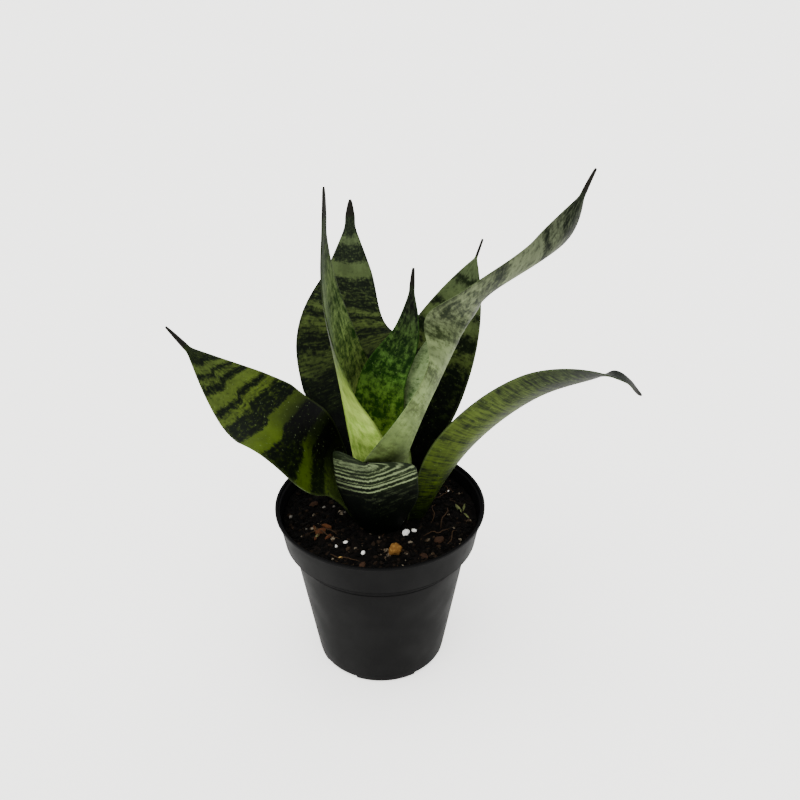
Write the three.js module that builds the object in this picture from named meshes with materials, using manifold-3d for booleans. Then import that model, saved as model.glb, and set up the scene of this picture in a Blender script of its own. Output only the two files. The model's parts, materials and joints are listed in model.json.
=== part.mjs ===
// A short snake plant of the bird's-nest kind in a round nursery pot.
// Millimetres, +Z up. The origin is the middle of the pot's underside, +Y points to the back of the plant
// and +X to its right, as seen by someone who stands in front of it.
import * as THREE from "three";
import { mergeVertices } from "three/addons/utils/BufferGeometryUtils.js";
import Module from "manifold-3d";

const wasm = await Module();
wasm.setup();

// ---------- driving dimensions (mm, angles in degrees) ----------
const GAP = 0.3; // clearance between two pieces that touch on the real plant
const ROUND_SIDES = 48; // facets of the pot and of the soil

const POT = {
  height: 94,
  wall: 1.0,
  floor: 1.8,
  baseRadius: 34,
  footBevel: 1.0, // at the edge that the pot stands on
  neckRadius: 45.3, // body, just under the collar
  neckHeight: 70.2,
  shoulderRadius: 46.2, // lower end of the collar's sloping underside
  shoulderHeight: 70.6,
  collarRadius: 49.9, // collar, at its lowest straight point
  collarHeight: 75.2,
  brimRadius: 52.6, // collar, just under the lip
  brimHeight: 91.8,
  rimRadius: 54,
  lipHeight: 1.5, // upright part of the lip along the top edge
  lipWall: 1.4,
  edgeBevel: 0.4,
};
const SLOT = { count: 4, firstAngle: 50, arc: 36, height: 2.2, innerRadius: 28.5 };

const SOIL = {
  level: 85.6, // mean height of the surface
  mound: 2.2, // rise towards the crown
  bump: 0.7, // height of its unevenness
  wallGap: GAP,
  rings: 7,
};
// Loose pieces lie on the mix at random, between two distances from the axis, and are fused with it.
const DEBRIS = {
  seed: 27,
  nearest: 26,
  farthest: 46,
  sizeShares: [0.75, 1.25], // of the size below
  kinds: [
    { count: 18, size: 3.4, flatness: 0.9, sink: 0.4 }, // mineral grains
    { count: 10, size: 7, flatness: 0.55, sink: 0.45 }, // bark chips
  ],
};

const CROWN = { x: 3, y: -2, z: 75, radius: 23, halfHeight: 9.5, sides: 16, rows: 6 };
const ROOT = { count: 5, radius: 1.6, drop: 42, spread: 14, sides: 6, steps: 6 };

// Each leaf grows along a smooth line through its spine points, from the crown to the tip.
// face: azimuth and elevation of the way that its inner face looks, at the base, half way and the tip.
// halfWidth: at the widest place, which is at the share `widest` of the length.
// sheath: half width inside the soil. neck: share of halfWidth just above it. taper: power of the fall to the tip.
// channel: how far the margins rise over the midrib, as a share of the half width, at base and tip.
// needle: share of the length that is the thin dry tip. point: the radius where that tip begins.
// Optional: fold, the power of the channel's curve (1 is a sharp V), and corner, how far one top corner stands higher.
const LEAVES = [
  {
    name: "leaf_left",
    colour: "#3b5a22",
    spine: [[-11, 1, 78], [-27, 3.5, 108.5], [-42, 0.5, 129.5], [-70, 9.5, 150], [-103, 15, 187]],
    face: [[-1, 22], [-21, 10], [-34, 50]],
    halfWidth: 27.7, sheath: 7.5, neck: 0.4, widest: 0.61, taper: 1.16, channel: [0.43, 0.05],
    needle: 0.09, point: 1.7,
  },
  {
    name: "leaf_back",
    colour: "#33451f",
    spine: [[0, 13, 78], [-0.5, 33, 125], [-18.5, 45.5, 165.5], [-15.5, 53.5, 200], [-14.5, 60.5, 235]],
    face: [[-90, 1], [-92, 5.5], [-91, 4]],
    halfWidth: 31, sheath: 8, neck: 0.45, widest: 0.51, taper: 1.06, channel: [0.23, 0.08],
    needle: 0.05, point: 2.3,
  },
  {
    name: "leaf_front_left",
    colour: "#9bb060",
    spine: [[-5, -4, 78], [-11.5, -6, 122.5], [-18, -1.5, 164], [-24, -0.5, 215.5], [-22.5, -5, 263.5]],
    face: [[50, -1], [-7, -7], [-32, 5]],
    halfWidth: 26, sheath: 6.5, neck: 0.53, widest: 0.48, taper: 0.72, channel: [0.9, 0.23],
    needle: 0.08, point: 1.7,
  },
  {
    name: "leaf_centre",
    colour: "#2d5520",
    spine: [[4, 4, 78], [1.6, -1.6, 124], [2.2, 2.5, 162.5], [13.5, 4.5, 189.5], [16.5, 7, 221]],
    face: [[-89, -1], [-105, 5], [-92, 5]],
    halfWidth: 12.4, sheath: 4.5, neck: 0.49, widest: 0.53, taper: 1.57, channel: [0.59, 0.22],
    needle: 0.06, point: 1.1,
  },
  {
    name: "leaf_long_right",
    colour: "#99a07a",
    spine: [[8, -9, 78], [11.5, -21.5, 131.5], [35.5, -10.5, 190], [47.5, -13, 215], [77.5, -8.5, 237.5], [94, -3, 271]],
    face: [[123, 10], [131, 74], [104, 0]],
    halfWidth: 21.4, sheath: 7, neck: 0.66, widest: 0.42, taper: 2.9, channel: [0.75, 0.31],
    needle: 0.05, point: 1.2,
  },
  {
    name: "leaf_back_right",
    colour: "#34451c",
    spine: [[12, 8, 78], [15, 17.5, 119.5], [26, 27, 152.5], [39, 33.5, 188], [50.5, 39, 222.5]],
    face: [[-122, 10], [-118, 11], [-107, 10]],
    halfWidth: 21.5, sheath: 6.5, neck: 0.45, widest: 0.48, taper: 2.1, channel: [0.46, 0.14],
    needle: 0.06, point: 0.5,
  },
  {
    name: "leaf_arching_right",
    colour: "#6f8440",
    spine: [[17.5, -4, 78], [40, -1.5, 127.5], [74.5, 0.5, 160], [109.5, -10, 174], [126.5, -3.5, 159.5]],
    face: [[142, 30], [96, 37], [-27, 28]],
    halfWidth: 15.2, sheath: 6, neck: 0.61, widest: 0.39, taper: 2.66, channel: [0.47, 0.07],
    needle: 0.056, point: 2.5,
  },
  {
    name: "leaf_front",
    colour: "#5f7a58",
    spine: [[0, -16, 78], [-2.2, -22, 98], [-3.4, -27, 114], [-4.2, -31, 128], [-5, -34.5, 141]],
    face: [[84, 12], [76, 14], [72, 12]],
    halfWidth: 21, sheath: 6.5, neck: 0.42, widest: 0.62, taper: 12, channel: [0.5, 0.42],
    needle: 0.01, point: 0.5, fold: 1.2, corner: -1,
  },
];
const BLADE = {
  stations: 33, // sections along a leaf
  columns: 7, // points across one face of a section
  baseThickness: 2.4,
  tipThickness: 1.2,
  marginShare: 0.45, // thickness of the margin, as a share of the middle's
  leastThickness: 0.8,
  sheathLength: 0.12, // share of the length over which the sheath opens out
  endRadius: 0.35, // of the dry tip at its end
  joinPower: 4, // how tightly the blade's outline runs into the dry tip's
  fold: 1.5,
  cornerStart: 0.75, // where along a leaf its raised corner begins
};

// ---------- small helpers ----------
const radians = THREE.MathUtils.degToRad;

function seededRandom(seed) {
  let state = seed >>> 0;
  return () => {
    state = (state + 0x6d2b79f5) >>> 0;
    let t = Math.imul(state ^ (state >>> 15), 1 | state);
    t = (t + Math.imul(t ^ (t >>> 7), 61 | t)) ^ t;
    return ((t ^ (t >>> 14)) >>> 0) / 4294967296;
  };
}

function surface(points, triangles) {
  const geometry = new THREE.BufferGeometry();
  geometry.setAttribute("position", new THREE.Float32BufferAttribute(points.flat(), 3));
  geometry.setIndex(triangles.flat());
  return geometry;
}

function solidOf(geometry) {
  const bare = new THREE.BufferGeometry();
  bare.setAttribute("position", geometry.getAttribute("position").clone());
  bare.setIndex(geometry.index ? geometry.index.clone() : null);
  const merged = mergeVertices(bare, 1e-3);
  return new wasm.Manifold(
    new wasm.Mesh({
      numProp: 3,
      vertProperties: new Float32Array(merged.attributes.position.array),
      triVerts: new Uint32Array(merged.index.array),
    }),
  );
}

function geometryOf(solid) {
  const { vertProperties, triVerts } = solid.getMesh();
  const geometry = new THREE.BufferGeometry();
  geometry.setAttribute("position", new THREE.BufferAttribute(vertProperties, 3));
  geometry.setIndex(new THREE.BufferAttribute(triVerts, 1));
  return geometry;
}

// Booleans can leave loose crumbs: the largest body is the piece.
function largestBody(solid) {
  return solid.decompose().reduce((best, body) => (body.volume() > best.volume() ? body : best));
}

function piece(name, geometry, colour, roughness) {
  const material = new THREE.MeshStandardMaterial({ color: colour, roughness, metalness: 0 });
  const flat = geometry.toNonIndexed();
  flat.computeVertexNormals();
  const mesh = new THREE.Mesh(flat, material);
  mesh.name = name;
  return mesh;
}

// A closed surface through rings of equal length, capped at both ends by a fan.
function ringsGeometry(rings) {
  const sides = rings[0].length;
  const points = rings.flat();
  const triangles = [];
  for (let i = 0; i + 1 < rings.length; i++)
    for (let j = 0; j < sides; j++) {
      const a = i * sides + j;
      const b = i * sides + ((j + 1) % sides);
      triangles.push([a, b, b + sides], [a, b + sides, a + sides]);
    }
  const centre = (ring) => [0, 1, 2].map((axis) => ring.reduce((sum, p) => sum + p[axis], 0) / sides);
  const last = (rings.length - 1) * sides;
  points.push(centre(rings[0]), centre(rings[rings.length - 1]));
  for (let j = 0; j < sides; j++) {
    const next = (j + 1) % sides;
    triangles.push([points.length - 2, next, j], [points.length - 1, last + j, last + next]);
  }
  return surface(points, triangles);
}

// ---------- leaves ----------
// The share of the full half width that the blade has at t, from 0 at the crown to 1 at its tip.
function widthShare(t, { neck, widest, taper }) {
  if (t < widest) return neck + (1 - neck) * Math.sin(((t / widest) * Math.PI) / 2) ** 1.3;
  return 1 - ((t - widest) / (1 - widest)) ** taper;
}

function halfWidthAt(t, leaf) {
  const { endRadius, joinPower } = BLADE;
  const blade = leaf.halfWidth * widthShare(Math.min(t / (1 - leaf.needle), 1), leaf);
  const dryTip = endRadius + (leaf.point - endRadius) * Math.min((1 - t) / leaf.needle, 1) ** 0.7;
  const free = (blade ** joinPower + dryTip ** joinPower) ** (1 / joinPower);
  const sheathed = Math.exp(-t / BLADE.sheathLength);
  return free * (1 - sheathed) + leaf.sheath * sheathed;
}

function lookDirection([azimuth, elevation]) {
  const a = radians(azimuth);
  const e = radians(elevation);
  return new THREE.Vector3(Math.cos(e) * Math.cos(a), Math.cos(e) * Math.sin(a), Math.sin(e));
}

// The inner face's direction at t: a smooth pass through the three given ones.
function faceAt(t, face) {
  const [base, middle, tip] = face.map(lookDirection);
  return new THREE.Vector3()
    .addScaledVector(base, 2 * (t - 0.5) * (t - 1))
    .addScaledVector(middle, -4 * t * (t - 1))
    .addScaledVector(tip, 2 * t * (t - 0.5));
}

function thicknessAt(t, s, halfWidth) {
  const middle = THREE.MathUtils.lerp(BLADE.baseThickness, BLADE.tipThickness, t);
  const across = middle * (1 - (1 - BLADE.marginShare) * s * s);
  return Math.max(Math.min(across, halfWidth * 1.6), BLADE.leastThickness);
}

// One leaf as a closed blade, `grown` wider and thicker all round where it cuts its own hole.
function leafGeometry(leaf, grown = 0) {
  const curve = new THREE.CatmullRomCurve3(
    leaf.spine.map((p) => new THREE.Vector3(...p)), false, "catmullrom", 0.5,
  );
  const { stations, columns } = BLADE;
  const { fold = BLADE.fold, corner = 0 } = leaf;
  const inner = [];
  const outer = [];
  for (let i = 0; i < stations; i++) {
    const t = i / (stations - 1);
    const centre = curve.getPointAt(t);
    const tangent = curve.getTangentAt(t);
    const face = faceAt(t, leaf.face);
    const normal = face.addScaledVector(tangent, -face.dot(tangent)).normalize();
    const side = new THREE.Vector3().crossVectors(tangent, normal);
    if (i === 0) centre.addScaledVector(tangent, -grown);
    const half = halfWidthAt(t, leaf) + grown;
    const channel = THREE.MathUtils.lerp(...leaf.channel, Math.min(t / 0.8, 1));
    const cornerShare = THREE.MathUtils.clamp((t - BLADE.cornerStart) / (1 - BLADE.cornerStart), 0, 1) ** 2;
    for (let j = 0; j < columns; j++) {
      const s = (2 * j) / (columns - 1) - 1;
      const slope = fold * channel * Math.abs(s) ** (fold - 1) * Math.sign(s);
      const out = normal.clone().addScaledVector(side, -slope).normalize();
      const middle = centre
        .clone()
        .addScaledVector(side, s * half)
        .addScaledVector(normal, channel * half * Math.abs(s) ** fold)
        .addScaledVector(tangent, corner * cornerShare * s);
      const offset = thicknessAt(t, s, half) / 2 + grown;
      inner.push(middle.clone().addScaledVector(out, offset).toArray());
      outer.push(middle.clone().addScaledVector(out, -offset).toArray());
    }
  }
  return surface([...inner, ...outer], bladeTriangles(stations, columns));
}

// Both faces, the two margins and the two ends, with both faces split along the same diagonals.
function bladeTriangles(stations, columns) {
  const back = stations * columns;
  const triangles = [];
  const quad = (a, b, c, d) => triangles.push([a, b, c], [a, c, d]);
  for (let i = 0; i + 1 < stations; i++) {
    for (let j = 0; j + 1 < columns; j++) {
      const a = i * columns + j;
      const up = a + columns;
      quad(a, a + 1, up + 1, up);
      triangles.push([a + back, up + 1 + back, a + 1 + back], [a + back, up + back, up + 1 + back]);
    }
    const left = i * columns;
    const right = left + columns - 1;
    quad(left, left + columns, left + columns + back, left + back);
    quad(right, right + back, right + columns + back, right + columns);
  }
  const tip = (stations - 1) * columns;
  for (let j = 0; j + 1 < columns; j++) {
    quad(j, j + back, j + 1 + back, j + 1);
    quad(tip + j, tip + j + 1, tip + j + 1 + back, tip + j + back);
  }
  return triangles;
}

// ---------- pot ----------
// The inside of the wall: its radius at a height, from the outside's straight stretches.
function innerWallRadius(height) {
  const stretches = [
    [0, POT.baseRadius],
    [POT.neckHeight, POT.neckRadius],
    [POT.shoulderHeight, POT.shoulderRadius],
    [POT.collarHeight, POT.collarRadius],
    [POT.brimHeight, POT.brimRadius],
  ];
  const upper = Math.max(1, stretches.findIndex(([h]) => h >= height));
  const [[h0, r0], [h1, r1]] = [stretches[upper - 1], stretches[upper]];
  return THREE.MathUtils.mapLinear(height, h0, h1, r0, r1) - POT.wall;
}

function potGeometry() {
  const p = POT;
  const lipBase = p.height - p.lipHeight;
  const lipInner = p.rimRadius - p.lipWall;
  const profile = [
    [0, 0],
    [p.baseRadius - p.footBevel, 0],
    [p.baseRadius, p.footBevel],
    [p.neckRadius, p.neckHeight],
    [p.shoulderRadius, p.shoulderHeight],
    [p.collarRadius - p.edgeBevel, p.collarHeight - p.edgeBevel],
    [p.collarRadius, p.collarHeight + p.edgeBevel],
    [p.brimRadius, p.brimHeight],
    [p.rimRadius, lipBase],
    [p.rimRadius, p.height - p.edgeBevel],
    [p.rimRadius - p.edgeBevel, p.height],
    [lipInner + p.edgeBevel / 2, p.height],
    [lipInner, p.height - p.edgeBevel],
    [innerWallRadius(p.brimHeight), p.brimHeight],
    [innerWallRadius(p.collarHeight), p.collarHeight],
    [p.neckRadius - p.wall, p.neckHeight],
    [innerWallRadius(p.floor), p.floor],
    [0, p.floor],
  ].map(([r, z]) => new THREE.Vector2(r, z));
  const shell = solidOf(new THREE.LatheGeometry(profile, ROUND_SIDES).rotateX(Math.PI / 2));
  return geometryOf(drainSlots().reduce((solid, slot) => solid.subtract(slot), shell));
}

// Drain slots are cut through the corner between wall and floor.
function drainSlots() {
  const halfArc = radians(SLOT.arc) / 2;
  const outerRadius = POT.baseRadius + 5;
  return Array.from({ length: SLOT.count }, (_, k) => {
    const middle = radians(SLOT.firstAngle) + (k * 2 * Math.PI) / SLOT.count;
    const sector = new THREE.Shape();
    sector.absarc(0, 0, outerRadius, middle - halfArc, middle + halfArc, false);
    sector.absarc(0, 0, SLOT.innerRadius, middle + halfArc, middle - halfArc, true);
    const cutter = new THREE.ExtrudeGeometry(sector, {
      depth: SLOT.height + 1, bevelEnabled: false, curveSegments: 6,
    });
    return solidOf(cutter.translate(0, 0, -1));
  });
}

// ---------- crown and roots ----------
function crownSolid(grown = 0) {
  const { x, y, z, radius, halfHeight, sides, rows } = CROWN;
  const lump = new THREE.SphereGeometry(1, sides, rows)
    .rotateX(Math.PI / 2)
    .scale(radius + grown, radius + grown, halfHeight + grown)
    .translate(x, y, z);
  return rootSolids(grown).reduce((solid, root) => solid.add(root), solidOf(lump));
}

function rootSolids(grown) {
  return Array.from({ length: ROOT.count }, (_, k) => {
    const heading = (k * 2 * Math.PI) / ROOT.count + 0.4;
    const start = CROWN.radius * 0.55;
    const rings = Array.from({ length: ROOT.steps + 1 }, (_, i) => {
      const t = i / ROOT.steps;
      const reach = start + ROOT.spread * Math.sin((t * Math.PI) / 2);
      const swing = heading + 0.35 * Math.sin(t * Math.PI * 1.3);
      const girth = ROOT.radius * (1 - 0.55 * t) + grown;
      const depth = CROWN.z - 3 - ROOT.drop * t - (i === ROOT.steps ? grown : 0);
      return Array.from({ length: ROOT.sides }, (_, j) => {
        const around = (-j * 2 * Math.PI) / ROOT.sides;
        return [
          CROWN.x + reach * Math.cos(swing) + girth * Math.cos(around),
          CROWN.y + reach * Math.sin(swing) + girth * Math.sin(around),
          depth,
        ];
      });
    });
    return solidOf(ringsGeometry(rings));
  });
}

// ---------- soil ----------
function soilHeight(x, y) {
  const wave = Math.sin(0.31 * x + 1.1) * Math.cos(0.27 * y - 0.6) + 0.6 * Math.sin(0.74 * x - 0.53 * y);
  const fine = 0.5 * Math.cos(1.13 * y + 0.91 * x + 2.0);
  return SOIL.level + SOIL.mound * Math.exp(-(x * x + y * y) / 700) + SOIL.bump * 0.5 * (wave + fine);
}

function soilBody() {
  const ringAt = (radius, height) =>
    Array.from({ length: ROUND_SIDES }, (_, j) => {
      const angle = (j * 2 * Math.PI) / ROUND_SIDES;
      const x = radius * Math.cos(angle);
      const y = radius * Math.sin(angle);
      return [x, y, height ?? soilHeight(x, y)];
    });
  const wallAt = (height) => ringAt(innerWallRadius(height) - SOIL.wallGap, height);
  const topRadius = innerWallRadius(SOIL.level) - 2 * SOIL.wallGap;
  const rings = [
    wallAt(POT.floor + SOIL.wallGap),
    wallAt(POT.neckHeight),
    wallAt(POT.collarHeight),
    ...Array.from({ length: SOIL.rings }, (_, i) => ringAt((topRadius * (SOIL.rings - i)) / SOIL.rings)),
  ];
  return solidOf(ringsGeometry(rings));
}

// A grain or chip: a faceted lump, flattened, turned and sunk into the surface.
function lump(x, y, size, flatness, turn, sink) {
  const shape = new THREE.IcosahedronGeometry(size / 2, 0).scale(1, flatness, 0.75);
  shape.rotateX(turn * 1.7).rotateZ(turn);
  return solidOf(shape.translate(x, y, soilHeight(x, y) + size * (0.5 - sink)));
}

function debris() {
  const random = seededRandom(DEBRIS.seed);
  const { nearest, farthest, sizeShares, kinds } = DEBRIS;
  return kinds.flatMap(({ count, size, flatness, sink }) =>
    Array.from({ length: count }, () => {
      const angle = random() * 2 * Math.PI;
      const radius = THREE.MathUtils.lerp(nearest, farthest, Math.sqrt(random()));
      const across = size * THREE.MathUtils.lerp(...sizeShares, random());
      const turn = random() * 2 * Math.PI;
      return lump(radius * Math.cos(angle), radius * Math.sin(angle), across, flatness, turn, sink);
    }),
  );
}

function soilGeometry(crown, leaves) {
  const filled = debris().reduce((solid, bit) => solid.add(bit), soilBody());
  const holed = [crown, ...leaves].reduce((solid, hole) => solid.subtract(hole), filled);
  return geometryOf(largestBody(holed));
}

// ---------- the plant in its pot ----------
const grownLeaves = LEAVES.map((leaf) => solidOf(leafGeometry(leaf, GAP)));
const crown = grownLeaves.reduce((solid, hole) => solid.subtract(hole), crownSolid());

const plant = new THREE.Group();
plant.add(piece("pot", potGeometry(), "#232425", 0.55));
plant.add(piece("soil", soilGeometry(crownSolid(GAP), grownLeaves), "#1d1714", 0.95));
plant.add(piece("crown", geometryOf(largestBody(crown)), "#6b5a34", 0.8));
for (const leaf of LEAVES) plant.add(piece(leaf.name, leafGeometry(leaf), leaf.colour, 0.45));

export default plant;
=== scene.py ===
# %% [markdown]
# # A potted snake plant
# A short snake plant of the bird's-nest kind stands in a round black nursery pot. Eight thick leaves grow from one
# crown, and each is banded in its own way. The construction is already settled: the frame holds every piece as a
# plain solid in its true place. This lesson makes the fine surfaces and the finishes that go round it.

# %% Load the frame
import json
import math
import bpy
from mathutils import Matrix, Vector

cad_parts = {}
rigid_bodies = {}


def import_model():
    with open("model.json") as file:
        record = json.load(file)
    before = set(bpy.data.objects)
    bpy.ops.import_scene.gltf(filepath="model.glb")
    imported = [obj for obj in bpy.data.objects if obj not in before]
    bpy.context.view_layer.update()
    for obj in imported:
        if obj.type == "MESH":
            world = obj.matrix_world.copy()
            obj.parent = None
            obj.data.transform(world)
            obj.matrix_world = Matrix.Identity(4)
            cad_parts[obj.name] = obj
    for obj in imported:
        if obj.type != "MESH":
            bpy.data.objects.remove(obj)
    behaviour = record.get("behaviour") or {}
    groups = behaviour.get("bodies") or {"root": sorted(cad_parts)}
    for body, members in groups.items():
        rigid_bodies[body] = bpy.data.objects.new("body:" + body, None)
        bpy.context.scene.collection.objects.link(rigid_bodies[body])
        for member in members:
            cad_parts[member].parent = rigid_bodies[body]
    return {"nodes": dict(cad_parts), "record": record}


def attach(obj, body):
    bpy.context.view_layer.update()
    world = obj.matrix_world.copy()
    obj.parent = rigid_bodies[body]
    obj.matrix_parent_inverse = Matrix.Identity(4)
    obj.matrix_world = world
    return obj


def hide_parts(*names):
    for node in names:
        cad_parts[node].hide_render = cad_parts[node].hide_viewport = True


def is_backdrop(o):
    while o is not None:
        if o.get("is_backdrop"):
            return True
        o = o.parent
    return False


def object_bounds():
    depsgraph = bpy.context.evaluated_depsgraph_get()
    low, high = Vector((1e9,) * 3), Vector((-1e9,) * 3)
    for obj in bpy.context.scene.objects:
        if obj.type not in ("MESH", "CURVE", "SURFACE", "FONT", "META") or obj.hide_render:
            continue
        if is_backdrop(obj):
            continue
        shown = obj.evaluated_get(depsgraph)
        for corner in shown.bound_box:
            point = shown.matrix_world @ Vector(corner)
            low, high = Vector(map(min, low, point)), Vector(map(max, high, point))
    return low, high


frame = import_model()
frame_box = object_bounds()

from types import SimpleNamespace as Sizes

import bmesh
import bpy
import numpy as np
from mathutils import Vector, noise

MM = 0.001
BODY = "root"  # nothing on a plant is jointed, so one body carries it all
scene = bpy.context.scene


def show(name, data):
    """A new object in the scene, unturned at the origin."""
    shown = bpy.data.objects.new(name, data)
    scene.collection.objects.link(shown)
    return shown


print("solids in the frame:", ", ".join(sorted(frame["nodes"])))

# %% [markdown]
# ## The camera
# The plant is seen from a little above, from about half a metre away. How much the rim's circle is flattened gives
# the pitch, and the pot's taper towards its foot gives the distance. The lens follows from the picture's width.

# %% Camera
PICTURE_PX = 800
FOCAL_PX = 1025
SENSOR_MM = 36
CAMERA_PLACE = Vector((10.3, -430, 407)) * MM
CAMERA_PITCH = 30.4  # degrees below level

camera_lens = bpy.data.cameras.new("camera")
camera_lens.sensor_width = SENSOR_MM
camera_lens.lens = SENSOR_MM * FOCAL_PX / PICTURE_PX
camera = show("camera", camera_lens)
camera.location = CAMERA_PLACE
camera.rotation_euler = (math.radians(90 - CAMERA_PITCH), 0, 0)
scene.camera = camera
print(f"lens {camera_lens.lens:.1f} mm")

# %% [markdown]
# ## Building node trees in words
# A procedural finish is a chain of small sums. This helper adds one node at a time to a tree. Each input takes a
# socket, a plain value or a hex colour, so that a finish reads from top to bottom like a recipe.

# %% Node recipe helper
def linear(code):
    """The linear colour of an ordinary hex code."""
    parts = [int(code[i:i + 2], 16) / 255 for i in (1, 3, 5)]
    return [*(c / 12.92 if c <= 0.04045 else ((c + 0.055) / 1.055) ** 2.4 for c in parts), 1]


class Recipe:
    def __init__(self, tree):
        self.tree = tree

    def feed(self, socket, value):
        if isinstance(value, bpy.types.NodeSocket):
            self.tree.links.new(value, socket)
        elif isinstance(value, str) and value.startswith("#"):
            socket.default_value = linear(value)
        else:
            socket.default_value = value

    def add(self, kind, feeds=(), **settings):
        made = self.tree.nodes.new(kind)
        for key, value in settings.items():
            setattr(made, key, value)
        for name, value in dict(feeds).items():
            self.feed(made.inputs[name], value)
        return made

    def make(self, kind, feeds=(), **settings):
        """Adds a node and gives its first output."""
        return self.add(kind, feeds, **settings).outputs[0]

    def dress(self, **values):
        """Feeds the surface shader's sockets, given by their names with _ for a space."""
        for key, value in values.items():
            self.feed(self.tree.nodes["Principled BSDF"].inputs[key.replace("_", " ")], value)

    def place(self):
        return self.add("ShaderNodeTexCoord").outputs["Object"]

    def attribute(self, name):
        return self.add("ShaderNodeAttribute", attribute_name=name).outputs["Fac"]

    def sum(self, operation, *values):
        return self.make("ShaderNodeMath", enumerate(values), operation=operation)

    def times(self, first, second):
        return self.sum("MULTIPLY", first, second)

    def minus(self, first, second):
        return self.sum("SUBTRACT", first, second)

    def vector(self, operation, first, second):
        feeds = {0: first, "Scale" if operation == "SCALE" else 1: second}
        return self.make("ShaderNodeVectorMath", feeds, operation=operation)

    def fade(self, value, low, high, start=0.0, end=1.0):
        """start at low, end at high, with a soft S between."""
        feeds = {"Value": value, "From Min": low, "From Max": high, "To Min": start, "To Max": end}
        return self.make("ShaderNodeMapRange", feeds, interpolation_type="SMOOTHSTEP")

    def blend(self, share, first, second):
        return self.add("ShaderNodeMix", {0: share, 6: first, 7: second}, data_type="RGBA").outputs[2]

    def grain(self, place, scale=1.0, detail=2.0, roughness=0.5):
        feeds = {"Vector": place, "Scale": scale, "Detail": detail, "Roughness": roughness}
        return self.add("ShaderNodeTexNoise", feeds).outputs["Fac"]

    def stretch(self, place, *scale):
        return self.make("ShaderNodeMapping", {"Vector": place, "Scale": scale})

    def ramp(self, value, stops):
        """A colour ramp from (place, colour) stops."""
        made = self.add("ShaderNodeValToRGB", {0: value})
        elements = made.color_ramp.elements
        elements.remove(elements[0])
        for count, (place, colour) in enumerate(stops):
            element = elements[0] if count == 0 else elements.new(place)
            element.position = place
            element.color = linear(colour) if isinstance(colour, str) else colour
        return made.outputs[0]

    def bump(self, height, strength, depth_mm):
        feeds = {"Height": height, "Strength": strength, "Distance": depth_mm * MM}
        return self.make("ShaderNodeBump", feeds)


def new_finish(name):
    material = bpy.data.materials.new(name)
    material.use_nodes = True
    return material, Recipe(material.node_tree)


print("a middle grey is", round(linear("#808080")[0], 2), "in linear light")

# %% [markdown]
# ## Floor and light
# The plant stands on a plain pale floor. Soft light comes from all round, and two very broad lamps add form: one
# from the upper front and a weaker one from behind. The floor isn't part of the plant, so it is staged.

# %% Floor and light
FLOOR_HALF = 6.0  # metres
FLOOR_GLOW = 1.3  # keeps the floor nearly white round the dark plant


def new_mesh(name, points, faces, edges=()):
    mesh = bpy.data.meshes.new(name)
    mesh.from_pydata(points, edges, faces)
    return mesh


corners = [(x * FLOOR_HALF, y * FLOOR_HALF, 0) for x, y in ((-1, -1), (1, -1), (1, 1), (-1, 1))]
floor = show("floor", new_mesh("floor", corners, [(0, 1, 2, 3)]))
floor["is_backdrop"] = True

floor_finish, recipe = new_finish("pale floor")
smudge = recipe.grain(recipe.place(), 3.0, detail=3)
recipe.dress(Roughness=0.9, Specular_IOR_Level=0.1, Emission_Color="#fffefa", Emission_Strength=FLOOR_GLOW,
             Base_Color=recipe.blend(smudge, "#f4f3f0", "#efeeea"))
floor.data.materials.append(floor_finish)

SKY_STRENGTH = 1.15
studio = bpy.data.worlds.new("studio")
studio.use_nodes = True
sky = studio.node_tree.nodes["Background"].inputs
sky["Color"].default_value = linear("#fbfcff")
sky["Strength"].default_value = SKY_STRENGTH
scene.world = studio

LAMPS = [  # name, the way that its light comes from, softness in degrees, strength
    ("key light", (-0.35, -0.5, 1.4), 75, 3.9),
    ("back light", (0.6, 1.0, 1.1), 60, 1.0),
]
for name, source, softness, strength in LAMPS:
    lamp = bpy.data.lights.new(name, "SUN")
    lamp.angle = math.radians(softness)
    lamp.energy = strength
    show(name, lamp).rotation_euler = Vector(source).to_track_quat("Z", "Y").to_euler()
print("lamps:", len(LAMPS))

# %% [markdown]
# ## The shape of a leaf
# Every leaf is the same idea with other numbers. A smooth line runs from the crown to the tip. A direction, given at
# the base, half way and at the tip, says which way the inner face looks. The blade spreads to both sides of the line,
# its margins rise to make a shallow channel, and it ends in a thin dry needle. The numbers are the construction's own.

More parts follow.
